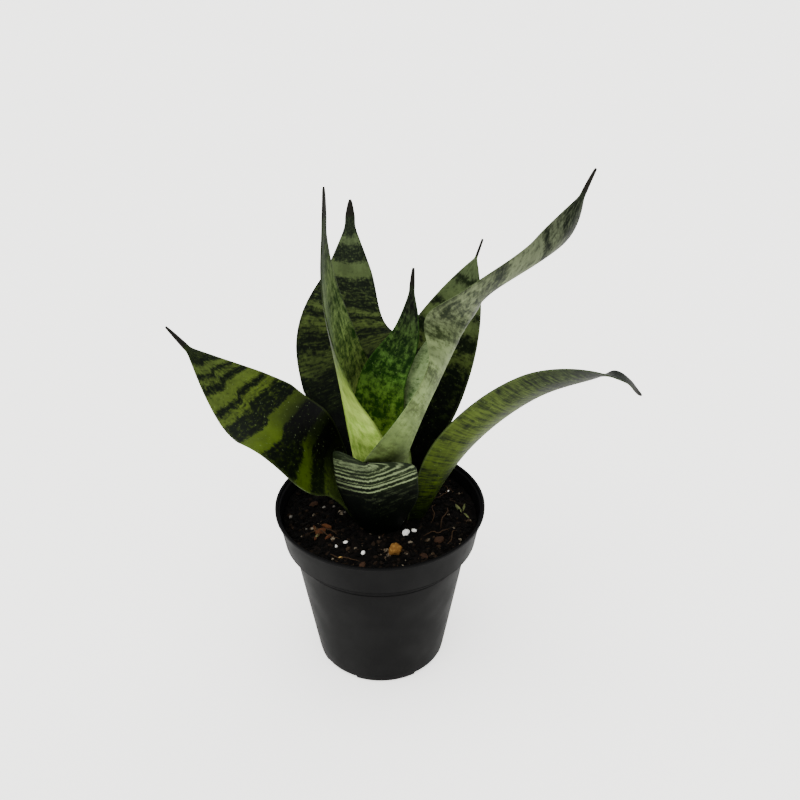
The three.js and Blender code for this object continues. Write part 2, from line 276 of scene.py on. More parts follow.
# %% Leaf table
LEAVES = {
    "leaf_left": dict(
        spine=[(-11, 1, 78), (-27, 3.5, 108.5), (-42, 0.5, 129.5), (-70, 9.5, 150), (-103, 15, 187)],
        face=[(-1, 22), (-21, 10), (-34, 50)],
        half_width=27.7, sheath=7.5, neck=0.4, widest=0.61, taper=1.16, channel=(0.43, 0.05), needle=0.09, point=1.7),
    "leaf_back": dict(
        spine=[(0, 13, 78), (-0.5, 33, 125), (-18.5, 45.5, 165.5), (-15.5, 53.5, 200), (-14.5, 60.5, 235)],
        face=[(-90, 1), (-92, 5.5), (-91, 4)],
        half_width=31, sheath=8, neck=0.45, widest=0.51, taper=1.06, channel=(0.23, 0.08), needle=0.05, point=2.3),
    "leaf_front_left": dict(
        spine=[(-5, -4, 78), (-11.5, -6, 122.5), (-18, -1.5, 164), (-24, -0.5, 215.5), (-22.5, -5, 263.5)],
        face=[(50, -1), (-7, -7), (-32, 5)],
        half_width=26, sheath=6.5, neck=0.53, widest=0.48, taper=0.72, channel=(0.9, 0.23), needle=0.08, point=1.7),
    "leaf_centre": dict(
        spine=[(4, 4, 78), (1.6, -1.6, 124), (2.2, 2.5, 162.5), (13.5, 4.5, 189.5), (16.5, 7, 221)],
        face=[(-89, -1), (-105, 5), (-92, 5)],
        half_width=12.4, sheath=4.5, neck=0.49, widest=0.53, taper=1.57, channel=(0.59, 0.22), needle=0.06, point=1.1),
    "leaf_long_right": dict(
        spine=[(8, -9, 78), (11.5, -21.5, 131.5), (35.5, -10.5, 190), (47.5, -13, 215), (77.5, -8.5, 237.5),
               (94, -3, 271)],
        face=[(123, 10), (131, 74), (104, 0)],
        half_width=21.4, sheath=7, neck=0.66, widest=0.42, taper=2.9, channel=(0.75, 0.31), needle=0.05, point=1.2),
    "leaf_back_right": dict(
        spine=[(12, 8, 78), (15, 17.5, 119.5), (26, 27, 152.5), (39, 33.5, 188), (50.5, 39, 222.5)],
        face=[(-122, 10), (-118, 11), (-107, 10)],
        half_width=21.5, sheath=6.5, neck=0.45, widest=0.48, taper=2.1, channel=(0.46, 0.14), needle=0.06, point=0.5),
    "leaf_arching_right": dict(
        spine=[(17.5, -4, 78), (40, -1.5, 127.5), (74.5, 0.5, 160), (109.5, -10, 174), (126.5, -3.5, 159.5)],
        face=[(142, 30), (96, 37), (-27, 28)],
        half_width=15.2, sheath=6, neck=0.61, widest=0.39, taper=2.66, channel=(0.47, 0.07), needle=0.056, point=2.5),
    "leaf_front": dict(
        spine=[(0, -16, 78), (-2.2, -22, 98), (-3.4, -27, 114), (-4.2, -31, 128), (-5, -34.5, 141)],
        face=[(84, 12), (76, 14), (72, 12)],
        half_width=21, sheath=6.5, neck=0.42, widest=0.62, taper=12, channel=(0.5, 0.42),
        needle=0.01, point=0.5, fold=1.2, corner=-1),
}
BASE_THICKNESS = 2.4
TIP_THICKNESS = 1.2
MARGIN_SHARE = 0.4  # thickness of the margin, as a share of the middle's
SHEATH_LENGTH = 0.12  # share of the length over which the sheath opens out
END_RADIUS = 0.35  # of the dry tip at its end
RISE_POWER = 1.3  # how slowly the blade widens above its neck
NEEDLE_POWER = 0.7  # how blunt the dry tip is
JOIN_POWER = 4  # how tightly the blade's outline runs into the dry tip's
FOLD = 1.5  # the power of the channel's curve; 1 is a sharp V
CORNER_START = 0.75  # where along a leaf its raised corner begins
print(len(LEAVES), "leaves")

# %% Leaf line and width
def smooth_line(points, count, fineness=60):
    """count points, evenly spaced by length, on the Catmull-Rom curve through the points, and its length."""
    knots = np.array(points, float)
    knots = np.vstack([2 * knots[0] - knots[1], knots, 2 * knots[-1] - knots[-2]])
    t = np.linspace(0, 1, fineness, endpoint=False)[:, None]
    fine = []
    for p0, p1, p2, p3 in zip(knots, knots[1:], knots[2:], knots[3:]):
        fine.append(0.5 * (2 * p1 + (p2 - p0) * t + (2 * p0 - 5 * p1 + 4 * p2 - p3) * t**2
                           + (3 * p1 - p0 - 3 * p2 + p3) * t**3))
    fine = np.vstack([*fine, knots[-2:-1]])
    lengths = np.r_[0, np.cumsum(np.linalg.norm(np.diff(fine, axis=0), axis=1))]
    even = np.linspace(0, lengths[-1], count)
    return np.stack([np.interp(even, lengths, fine[:, axis]) for axis in range(3)], 1), lengths[-1]


def unit(vectors):
    return vectors / np.linalg.norm(vectors, axis=-1, keepdims=True)


def look_direction(azimuth, elevation):
    a, e = math.radians(azimuth), math.radians(elevation)
    return np.array([math.cos(e) * math.cos(a), math.cos(e) * math.sin(a), math.sin(e)])


def half_widths(leaf, t):
    """Half the blade's width at each share t of its length."""
    neck, widest, needle = leaf["neck"], leaf["widest"], leaf["needle"]
    u = np.clip(t / (1 - needle), 0, 1)
    rising = neck + (1 - neck) * np.sin(np.clip(u / widest, 0, 1) * math.pi / 2) ** RISE_POWER
    falling = 1 - np.clip((u - widest) / (1 - widest), 0, 1) ** leaf["taper"]
    blade = leaf["half_width"] * np.where(u < widest, rising, falling)
    dry_tip = END_RADIUS + (leaf["point"] - END_RADIUS) * np.clip((1 - t) / needle, 0, 1) ** NEEDLE_POWER
    joined = (blade**JOIN_POWER + dry_tip**JOIN_POWER) ** (1 / JOIN_POWER)
    sheathed = np.exp(-t / SHEATH_LENGTH)
    return joined * (1 - sheathed) + leaf["sheath"] * sheathed


for name, leaf in LEAVES.items():
    print(f"{name}: {2 * half_widths(leaf, np.linspace(0, 1, 50)).max():.0f} mm at its widest")

# %% [markdown]
# ## The skin of a leaf
# The skin is one closed tube of rings. Each ring runs across the inner face, round one margin, back across the outer
# face and round the other. Three attributes go with every point: how far along the leaf it lies, how far across, and
# on which face. The finish reads them, so that the bands follow the blade wherever it bends.

# %% Leaf mesh
STATIONS = 170  # rings along a leaf
ACROSS = 27  # points over one face
EDGE_STEPS = 3  # points round a margin, between the two faces
EDGE_BULGE = 0.8  # how far a margin stands out, as a share of half its thickness
CHANNEL_END = 0.8  # where along a leaf its channel has its last depth
ROUND_TIP = 0.8  # thickness that the dry tip may have, as a share of its width


def leaf_rings(leaf):
    """A leaf's rings of points, and what goes with them: along, across, inner and the leaf's length."""
    t = np.linspace(0, 1, STATIONS)
    centre, length = smooth_line(leaf["spine"], STATIONS)
    tangent = unit(np.gradient(centre, axis=0))
    base, middle, tip = (look_direction(*f) for f in leaf["face"])
    tt = t[:, None]
    face = base * 2 * (tt - 0.5) * (tt - 1) - middle * 4 * tt * (tt - 1) + tip * 2 * tt * (tt - 0.5)
    normal = unit(face - (face * tangent).sum(1, keepdims=True) * tangent)
    side = np.cross(tangent, normal)
    half = half_widths(leaf, t)[:, None]
    channel = np.interp(t / CHANNEL_END, (0, 1), leaf["channel"])[:, None]

    flat = np.sin(np.linspace(-1, 1, ACROSS) * math.pi / 2)  # closer together towards the margins
    turn = np.linspace(math.pi / 2, -math.pi / 2, EDGE_STEPS + 2)[1:-1]
    across = np.r_[flat, np.ones(EDGE_STEPS), flat[::-1], -np.ones(EDGE_STEPS)]
    lift = np.r_[np.ones(ACROSS), np.sin(turn), -np.ones(ACROSS), np.sin(turn[::-1])]
    bulge = np.r_[np.zeros(ACROSS), np.cos(turn), np.zeros(ACROSS), -np.cos(turn)]

    s = across[None, :]
    fold = leaf.get("fold", FOLD)
    rise = channel * half * np.abs(s) ** fold
    slope = fold * channel * np.abs(s) ** (fold - 1) * np.sign(s)
    middle_thickness = np.interp(t, (0, 1), (BASE_THICKNESS, TIP_THICKNESS))[:, None]
    thickness = middle_thickness * (1 - (1 - MARGIN_SHARE) * s**2)
    thickness = np.minimum(thickness, 2 * ROUND_TIP * half) / 2
    corner = leaf.get("corner", 0) * s * np.clip((tt - CORNER_START) / (1 - CORNER_START), 0, 1) ** 2

    centre, tangent, normal, side = (line[:, None, :] for line in (centre, tangent, normal, side))
    out = unit(normal - slope[..., None] * side)
    sideways = np.cross(tangent, out)
    moves = ((side, s * half), (normal, rise), (out, thickness * lift), (sideways, thickness * bulge * EDGE_BULGE),
             (tangent, corner))
    skin = centre + sum(way * far[..., None] for way, far in moves)
    return skin * MM, t, across, (lift + 1) / 2, length


def tube_mesh(name, rings):
    """A closed mesh through rings of points, with a fan at each end."""
    count, sides = rings.shape[:2]
    points = [*map(tuple, rings.reshape(-1, 3)), tuple(rings[0].mean(0)), tuple(rings[-1].mean(0))]
    faces = []
    around = [(j, (j + 1) % sides) for j in range(sides)]
    last = (count - 1) * sides
    for first in range(0, last, sides):
        faces += [(first + j, first + k, first + sides + k, first + sides + j) for j, k in around]
    for j, k in around:
        faces += [(count * sides, k, j), (count * sides + 1, last + j, last + k)]
    mesh = new_mesh(name, points, faces)
    face_out(mesh)
    mesh.shade_smooth()
    return mesh


def face_out(mesh):
    """Turns a closed mesh's faces outwards."""
    shape = bmesh.new()
    shape.from_mesh(mesh)
    bmesh.ops.recalc_face_normals(shape, faces=shape.faces)
    if shape.calc_volume(signed=True) < 0:
        bmesh.ops.reverse_faces(shape, faces=shape.faces)
    shape.to_mesh(mesh)
    shape.free()


def note(mesh, name, values):
    mesh.attributes.new(name, "FLOAT", "POINT").data.foreach_set("value", np.asarray(values, np.float32))


def leaf_mesh(name, leaf):
    rings, t, across, inner, length = leaf_rings(leaf)
    sides = len(across)
    mesh = tube_mesh(name + "_skin", rings)
    note(mesh, "along", [*np.repeat(t, sides), 0, 1])
    note(mesh, "across", [*np.tile(across, STATIONS), 0, 0])
    note(mesh, "inner", [*np.tile(inner, STATIONS), 0.5, 0.5])
    return mesh, length


print(STATIONS, "rings a leaf, each of", 2 * (ACROSS + EDGE_STEPS), "points")

# %% [markdown]
# ## How a leaf is banded
# The cells of a snake plant leaf hold more or less green, in bands across the blade. The bands are ragged, because
# the cells sit in lines along the leaf and each line is shifted a little. So the finish first asks where a point lies
# along the leaf, shifts that place by several kinds of noise, and then looks up how light the band there is.

# %% Greens of the leaves
GREENS = {
    "black": "#000200", "night": "#030901", "pine": "#0b1403", "old olive": "#121c03", "bottle": "#092500",
    "forest": "#1e3c0a", "deep olive": "#2d3d03", "olive": "#38441c", "moss": "#414f16", "grass": "#496b27",
    "meadow": "#44640a", "khaki": "#5c6c2c", "fern": "#61733f", "leaf": "#6c8a30", "lime": "#98b050",
    "young lime": "#bfe06e", "char": "#0e140b", "slate": "#262e1c", "lichen": "#3d482c", "sage": "#55633e",
    "stone": "#616d4d", "silver": "#7d9060", "ash": "#596244", "pewter": "#454b38", "dry": "#12110c",
}
# The near-black greens near the base are partly the leaves' own dark green and partly painted shade at the crown.
COLOUR_PLACES = (0.12, 0.37, 0.62, 0.87)  # where along a leaf the four greens of a kind of cell hold
print(len(GREENS), "greens")

# %% Band looks
# slant: how far a band runs towards the tip from the middle to the margin, at the base and at the tip.
# chevron: the same, to both margins. step: how far the bands are set back on one half of the blade.
# edge: how soft a band's ends are. ragged: how far neighbouring lines of cells are shifted against each other.
# mottle: how strongly blotches break up the bands, and weave: how fine they are, along and across.
# ripple: the same for long thin lines across the blade. streak: for lines along it. dots: for pale specks.
# margin: the green of the thin line along the margins, and how plain it is.
# soft: how gradually the two kinds of cells give way to each other.
# dusk: the side with painted shadow near the base, how far up the painted shadow reaches, and how dark it is.
# Each face has four things: how light the blade is between its bands, the greens of its dark cells, those of its
# light cells, and its bands, which are (start, end, strength) along the leaf.
PLAIN_LOOK = dict(slant=(0, 0), chevron=0, step=0, edge=0.01, ragged=0.006, streak=0, soft=0.5, painted_shadow=(1, 0, 0))
LOOKS = {
    "leaf_left": dict(
        slant=(0.03, -0.057), step=0.02, edge=0.008, ragged=0.005, mottle=0.9, weave=(0.5, 0.35), ripple=0.4,
        dots=0.25, soft=0.45, margin=("olive", 0.2), painted_shadow=(1, 0.6, 0.9),
        inner=(0.08, "pine, black, night, night", "olive, deep olive, moss, olive", [
            (0.14, 0.26, 0.55), (0.33, 0.375, 0.8), (0.465, 0.525, 1.2), (0.605, 0.64, 0.6), (0.665, 0.712, 0.8),
            (0.74, 0.768, 0.5), (0.782, 0.815, 0.7), (0.84, 0.99, 0.15)]),
        outer=(0.15, "night, night, char, slate", "lichen, sage, sage, lichen", [
            (0.24, 0.31, 0.5), (0.335, 0.375, 0.8), (0.465, 0.53, 1), (0.625, 0.655, 0.8), (0.675, 0.73, 0.9),
            (0.785, 0.815, 0.85)])),
    "leaf_back": dict(
        chevron=0.01, edge=0.008, ragged=0.004, mottle=0.95, weave=(0.7, 0.35), ripple=0.9, dots=0.1,
        margin=("night", 0.5), painted_shadow=(-1, 0.45, 0.3),
        inner=(0.12, "black, black, night, char", "black, night, olive, lichen", [
            (0.36, 0.4, 0.3), (0.5, 0.555, 0.45), (0.6, 0.635, 0.5), (0.655, 0.668, 0.7), (0.7, 0.72, 0.2),
            (0.765, 0.81, 1), (0.862, 0.887, 0.85)]),
        outer=(0.2, "night, pine, char, char", "lichen, lichen, sage, lichen", [
            (0.3, 0.36, 0.6), (0.5, 0.555, 0.9), (0.6, 0.635, 0.7), (0.765, 0.81, 1)])),
    "leaf_front_left": dict(
        slant=(0.03, 0.03), edge=0.02, ragged=0.01, mottle=1.1, weave=(0.22, 0.3), ripple=0.25, streak=0.4, dots=0.2,
        soft=0.55, margin=("pine", 0.5), painted_shadow=(1, 0.62, 0.4),
        inner=(0.3, "meadow, forest, bottle, black", "lime, lime, fern, lichen", [
            (0, 0.44, 0.45), (0.47, 0.53, 0.1), (0.58, 0.66, 0.2), (0.7, 0.78, 0.35)]),
        outer=(0.45, "leaf, leaf, black, night", "young lime, lime, deep olive, slate", [
            (0, 0.32, 0.25), (0.32, 0.42, 0.05), (0.42, 0.54, 0.35), (0.56, 0.66, -0.15)])),
    "leaf_centre": dict(
        chevron=0.02, edge=0.02, ragged=0.01, mottle=1.7, weave=(0.24, 0.3), ripple=0.3, streak=0.25, dots=0.25,
        soft=0.55, margin=("forest", 0.5),
        inner=(0.3, "moss, forest, bottle, black", "leaf, leaf, grass, slate", [
            (0, 0.45, 0.3), (0.54, 0.59, 0.25), (0.65, 0.69, -0.1), (0.77, 0.82, 0.3)]),
        outer=(0.4, "pine, bottle, bottle, char", "khaki, grass, sage, lichen", [
            (0.36, 0.5, 0.4), (0.56, 0.62, 0.3), (0.7, 0.75, 0.3)])),
    "leaf_long_right": dict(
        slant=(0.03, 0.05), mottle=1.1, weave=(0.4, 0.3), ripple=0.45, streak=0.3, dots=0.12, soft=0.6,
        margin=("lichen", 0.15), painted_shadow=(1, 0.4, 0.55),
        inner=(0.6, "olive, forest, pine, char", "leaf, silver, sage, lichen", [
            (0.2, 0.26, 0.3), (0.32, 0.37, 0.2), (0.44, 0.48, 0.3), (0.57, 0.61, 0.3), (0.68, 0.73, 0.5),
            (0.78, 0.82, 0.4)]),
        outer=(0.15, "olive, olive, pine, night", "deep olive, fern, ash, pewter", [
            (0, 0.26, 0.5), (0.275, 0.36, 0.6), (0.378, 0.435, 0.6), (0.46, 0.53, 0.7), (0.552, 0.58, 0.4),
            (0.6, 0.67, 0.3), (0.7, 0.8, 0.7), (0.81, 0.86, 0.4)])),
    "leaf_back_right": dict(
        chevron=0.01, edge=0.012, mottle=1.3, weave=(0.3, 0.25), ripple=0.3, dots=0.15, margin=("lichen", 0.3),
        inner=(0.05, "black, black, night, pine", "night, old olive, olive, lichen", [
            (0.4, 0.43, 0.2), (0.58, 0.635, 0.6), (0.69, 0.74, 0.8), (0.765, 0.84, 0.9), (0.865, 0.95, 0.8)]),
        outer=(0.2, "night, pine, char, char", "lichen, lichen, sage, lichen", [
            (0.58, 0.635, 0.8), (0.695, 0.735, 0.8), (0.75, 0.775, 0.6), (0.8, 0.83, 0.7)])),
    "leaf_arching_right": dict(
        slant=(-0.01, -0.02), ragged=0.005, mottle=0.8, weave=(0.5, 0.14), ripple=1, streak=0.3, dots=0.15, soft=0.6,
        margin=("lichen", 0.4), painted_shadow=(1, 0.2, 0.5),
        inner=(0.1, "pine, char, char, night", "deep olive, lichen, lichen, char", [
            (0.15, 0.2, 0.6), (0.27, 0.31, 0.6), (0.38, 0.42, 0.6), (0.5, 0.54, 0.6), (0.62, 0.66, 0.5),
            (0.74, 0.77, 0.4)]),
        outer=(0.4, "black, pine, night, night", "deep olive, moss, olive, slate", [
            (0.1, 0.13, 0.1), (0.24, 0.35, 0.3), (0.365, 0.42, 0.3), (0.435, 0.49, 0.25), (0.5, 0.55, 0.25),
            (0.565, 0.62, 0.15), (0.66, 0.7, -0.15), (0.78, 0.99, -0.3)])),
    "leaf_front": dict(
        slant=(-0.14, -0.14), chevron=-0.035, edge=0.004, mottle=0.7, weave=(0.5, 0.22), ripple=0.45, dots=0.1,
        soft=0.45, margin=("char", 0.4), painted_shadow=(1, 0.72, 0.4),
        inner=(0.1, "night, night, pine, char", "slate, lichen, sage, sage", [
            (0.3, 0.36, 0.6), (0.45, 0.5, 0.6), (0.6, 0.64, 0.6), (0.7, 0.74, 0.6), (0.8, 0.84, 0.6)]),
        # its outer face's black greens are partly its own dark pattern and partly painted shade in its lower part
        outer=(0.02, "black, black, black, pine", "black, night, stone, stone", [
            (0.6, 0.61, 0.2), (0.672, 0.688, 0.9), (0.722, 0.742, 1), (0.757, 0.768, 0.6), (0.798, 0.818, 1),
            (0.845, 0.862, 0.6), (0.885, 0.9, 0.5), (0.925, 1, 0.45)])),
}
print(sum(len(look[face][-1]) for look in LOOKS.values() for face in ("inner", "outer")), "bands")

# %% Band ramps
def band_stops(bands, ground, edge):
    """What a colour ramp needs for a face's bands."""
    stops = []  # a ramp takes 32 stops, so a face has at most 8 bands
    for start, end, strength in bands:
        stops += [(start - edge, ground), (start + edge, ground + strength)]
        stops += [(end - edge, ground + strength), (end + edge, ground)]
    places = {min(max(0.0, place), 1.0): (value, value, value, 1) for place, value in stops}
    return sorted(places.items())


def along_stops(greens):
    return [(place, GREENS[green]) for place, green in zip(COLOUR_PLACES, greens.split(", "))]


print("stops of one band:", [(round(place, 3), value[0]) for place, value in band_stops([(0.4, 0.5, 1)], 0, 0.01)])

# %% Leaf finish
FACE_STEP = 40.0  # how far apart the two faces lie in the noise, in mm, so that they differ
LEAF_STEP = 100  # the same for two leaves
FLATTENED = 0.8  # the blade's usual width, as a share of its greatest
FINE_SHIFT = 5  # ragged is a share of these two: how far the lines of cells are shifted,
FINE_GRAIN = 60  # and how strongly single cells differ
BLOTCHES, LINES_ACROSS, LINES_ALONG = 2.4, 2.0, 2.4  # the strengths that mottle, ripple and streak are shares of
FACE_CHANGE = (0.35, 0.65)  # between these, across the margin, one face's look gives way to the other's
PAINTED_BASE_SHADE = (0.03, 0.15, 0.3, 1.0)  # painted shade near the crown: from where to where along a leaf it gets lighter, and how light it is at both places
PATCH_SHADE = (0.8, 1.18)  # the darkest and the lightest patches
PAINTED_SHADOW_FADE = 0.15  # share of the length over which the painted shadow on one side fades out
SPECKS = (0.66, 0.76)  # the fine noise at which pale specks start and are full
MARGIN_LINE = (0.955, 0.985)  # where across the blade the line along its margin starts and is full
NEEDLE_FADE = (1.1, 0.85)  # where the dry tip's brown starts and is full, as shares of the needle
SHEEN = (0.52, 0.64)  # the least and greatest roughness


def leaf_finish(name, number, length):
    look = {**PLAIN_LOOK, **LOOKS[name]}
    material, recipe = new_finish(name + "_finish")
    along, across, inner = (recipe.attribute(key) for key in ("along", "across", "inner"))
    is_inner = recipe.fade(inner, *FACE_CHANGE)
    outwards = recipe.sum("ABSOLUTE", across)

    # the place along the blade, leaned over as its bands are
    slant = recipe.sum("MULTIPLY_ADD", along, look["slant"][1] - look["slant"][0], look["slant"][0])
    place = recipe.minus(along, recipe.times(across, slant))
    place = recipe.minus(place, recipe.times(outwards, look["chevron"]))
    place = recipe.minus(place, recipe.fade(across, -0.1, 0.15, 0.0, look["step"]))

    # a flat map of the blade in millimetres, one sheet for each face
    sheet = recipe.make("ShaderNodeCombineXYZ", {
        "X": recipe.times(place, length), "Y": recipe.times(across, LEAVES[name]["half_width"] * FLATTENED),
        "Z": recipe.sum("MULTIPLY_ADD", is_inner, FACE_STEP, number * LEAF_STEP)})

    def sheet_grain(along_scale, across_scale, *detail):
        return recipe.grain(recipe.stretch(sheet, along_scale, across_scale, 1), 1.0, *detail)

    def noise_of(strength, along_scale, across_scale, detail, roughness=0.6):
        """Noise on the sheet, centred on nought. The scales are in waves per millimetre."""
        grain = sheet_grain(along_scale, across_scale, detail, roughness)
        return recipe.sum("MULTIPLY_ADD", grain, strength, -strength / 2)

    for wave in (noise_of(0.02, 0.07, 0.07, 2), noise_of(look["ragged"] * FINE_SHIFT, 0.3, 1.1, 3)):
        place = recipe.sum("ADD", place, wave)

    def cells(ground, darks, lights, bands):
        band = recipe.ramp(place, band_stops(bands, ground, look["edge"]))
        return band, recipe.ramp(along, along_stops(darks)), recipe.ramp(along, along_stops(lights))

    # the share of light cells: the bands, broken up by blotches, lines across, lines along and single cells
    both_faces = zip(cells(*look["outer"]), cells(*look["inner"]))
    band, dark, light = (recipe.blend(is_inner, outer, inner) for outer, inner in both_faces)
    light_share = recipe.make("ShaderNodeSeparateColor", {0: band})
    layers = [(look["mottle"] * BLOTCHES, *look["weave"], 5, 0.65), (look["ripple"] * LINES_ACROSS, 1.0, 0.1, 3),
              (look["streak"] * LINES_ALONG, 0.05, 0.7, 3), (look["ragged"] * FINE_GRAIN, 1.6, 2.4, 2)]
    for layer in layers:
        light_share = recipe.sum("ADD", light_share, noise_of(*layer))
    colour = recipe.blend(recipe.fade(light_share, 0.5 - look["soft"], 0.5 + look["soft"]), dark, light)

    # painted shade towards the base, painted shadow on one side near the base, and patches where the green itself is
    # darker or lighter
    patches = recipe.fade(sheet_grain(0.16, 0.1), 0.3, 0.7, *PATCH_SHADE)
    patches_and_painted_shade = recipe.times(patches, recipe.fade(along, *PAINTED_BASE_SHADE))
    # painted shadow: one side of the blade is darkened up to a share of its length
    side, reach, depth = look["painted_shadow"]
    on_side = recipe.fade(recipe.times(across, side), -0.3, 0.5, 0.0, depth)
    painted_shadow = recipe.times(on_side, recipe.fade(along, reach - PAINTED_SHADOW_FADE, reach, 1.0, 0.0))
    patches_and_painted_shade = recipe.times(patches_and_painted_shade, recipe.minus(1.0, painted_shadow))
    colour = recipe.vector("SCALE", colour, patches_and_painted_shade)

    # pale specks, the line along the margins and the dry tip
    dots = sheet_grain(0.95, 0.95, 1)
    colour = recipe.blend(recipe.fade(dots, *SPECKS, 0.0, look["dots"]), colour, GREENS["silver"])
    margin_green, margin_share = look["margin"]
    margin = recipe.fade(outwards, *MARGIN_LINE, 0.0, margin_share)
    colour = recipe.blend(margin, colour, GREENS[margin_green])
    dry_start, dry_full = (1 - share * LEAVES[name]["needle"] for share in NEEDLE_FADE)
    colour = recipe.blend(recipe.fade(along, dry_start, dry_full), colour, GREENS["dry"])

    relief = recipe.sum("ADD", recipe.times(sheet_grain(0.05, 3.2), 0.5), recipe.times(dots, 0.3))
    recipe.dress(Base_Color=colour, Normal=recipe.bump(relief, 0.25, 0.3), Specular_IOR_Level=0.06,
                 Roughness=recipe.fade(dots, 0.2, 0.8, *SHEEN))
    return material


print("a finish can now be made for", ", ".join(LOOKS))

# %% Grow the leaves
def add_piece(name, mesh, slot, *nodes):
    """Puts a finished mesh in the scene, riding on the plant's one body, in place of the named solids."""
    piece = show(name, mesh)
    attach(piece, BODY)
    if nodes:
        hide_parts(*nodes)
    print(f"{name}: {len(mesh.polygons)} faces")


leaf_slots = {row["node"]: row["material_slot"] for row in frame["record"]["subparts"]}
for number, (name, leaf) in enumerate(LEAVES.items(), 1):
    mesh, length = leaf_mesh(name, leaf)
    mesh.materials.append(leaf_finish(name, number, length))
    add_piece(name + "_blade", mesh, leaf_slots[name], name)

# %% [markdown]
# ## The pot
# A nursery pot is one thin moulding, turned about its axis: a tapered body, a step out to the collar and a thicker
# lip. A profile swept round a circle gives all of it by one rule, so a small Geometry Nodes tree does the turning and
# rounds every corner as the mould would. The drain slots are then cut through the corner at its foot.

# %% Pot sizes
POT = Sizes(height=94, wall=1.0, floor=1.8, base=34, foot_bevel=1.0, rim=54, lip=1.4, lip_height=1.5,
            neck=(45.3, 70.2), shoulder=(46.2, 70.6), collar=(49.9, 75.2), brim=(52.6, 91.8))
OUTER_WALL = [POT.neck, POT.shoulder, POT.collar, POT.brim]  # radius and height of each bend
SLOT = Sizes(count=4, first_angle=50, arc=36, height=2.2, inner_radius=28.5)
POT_SIDES = 160
CORNER = 0.35  # radius of every moulded corner
FOOT_RING = 4  # height of a ring of points that keeps the slots' corners out of the body's shading


def inner_wall(height):
    """The pot's inner radius at a height."""
    radii, heights = zip((POT.base, 0), *OUTER_WALL)
    return float(np.interp(height, heights, radii)) - POT.wall


foot_ring_radius = POT.base + (POT.neck[0] - POT.base) * FOOT_RING / POT.neck[1]
lip_base = POT.height - POT.lip_height
POT_PROFILE = [  # radius and height, from the middle of the underside round to the middle of the floor
    (0, 0), (POT.base - POT.foot_bevel, 0), (POT.base, POT.foot_bevel), (foot_ring_radius, FOOT_RING), *OUTER_WALL,
    (POT.rim, lip_base), (POT.rim, POT.height), (POT.rim - POT.lip, POT.height), (POT.rim - POT.lip, lip_base),
    *((inner_wall(height), height) for height in (POT.brim[1], POT.collar[1], POT.neck[1], POT.floor)),
    (0, POT.floor),
]
print("points in the pot's profile:", len(POT_PROFILE))

# %% Geometry Nodes helpers
def node_tree(name, sizes, counts):
    """A Geometry Nodes tree with a geometry coming in and out, and named inputs for its sizes and whole numbers."""
    tree = bpy.data.node_groups.new(name, "GeometryNodeTree")
    for kind, labels in (("Geometry", ["Geometry"]), ("Float", sizes), ("Int", counts), ("Material", ["Material"])):
        for label in labels:
            tree.interface.new_socket(label, in_out="INPUT", socket_type="NodeSocket" + kind)
    tree.interface.new_socket("Geometry", in_out="OUTPUT", socket_type="NodeSocketGeometry")
    recipe = Recipe(tree)
    return recipe, recipe.add("NodeGroupInput").outputs


def end_tree(recipe, given, geometry):
    """Ends a tree: real points in place of instances, with the material on them."""
    real = recipe.make("GeometryNodeRealizeInstances", {0: geometry})
    painted = recipe.make("GeometryNodeSetMaterial", {"Geometry": real, "Material": given["Material"]})
    recipe.add("NodeGroupOutput", {0: painted})
    return recipe.tree


def plain_copy(holder):
    """The holder's finished shape as a plain mesh. The holder and its modifiers go."""
    mesh = bpy.data.meshes.new_from_object(holder.evaluated_get(bpy.context.evaluated_depsgraph_get()))
    bpy.data.objects.remove(holder)
    return mesh


def run_tree(source, tree, values, name):
    """Runs a tree on a mesh with the given input values, and returns the result as a plain mesh."""
    holder = show(name, source)
    modifier = holder.modifiers.new(tree.name, "NODES")
    modifier.node_group = tree
    sockets = {item.name: item.identifier for item in tree.interface.items_tree if item.in_out == "INPUT"}
    for label, value in values.items():
        modifier[sockets[label]] = value
    holder.update_tag()
    mesh = plain_copy(holder)
    mesh.name = name
    return mesh


print("every tree starts with a Group Input and ends in Realize Instances and Set Material")

# %% Turn the pot
GUIDE_RADIUS = 20 * MM  # the circle that the profile follows
PAINTED_SHADE_HEIGHT = 72.2  # height of the painted shade at the step under the collar
PAINTED_SHADE_FADE = (2.9, 4.2)  # how far from there the painted shade starts to fade, and where it is gone


def turning_tree():
    recipe, given = node_tree("turn a profile", ["Guide radius", "Corner radius"], ["Sides"])
    profile = recipe.make("GeometryNodeMeshToCurve", {"Mesh": given["Geometry"]})
    rounded = recipe.make("GeometryNodeFilletCurve", {
        "Curve": profile, "Radius": given["Corner radius"], "Limit Radius": True, "Count": 4}, mode="POLY")
    guide = recipe.make("GeometryNodeCurvePrimitiveCircle", {
        "Radius": given["Guide radius"], "Resolution": given["Sides"]})
    swept = recipe.make("GeometryNodeCurveToMesh", {"Curve": guide, "Profile Curve": rounded})
    closed = recipe.make("GeometryNodeMergeByDistance", {"Geometry": swept, "Distance": 0.01 * MM})
    return end_tree(recipe, given, closed)


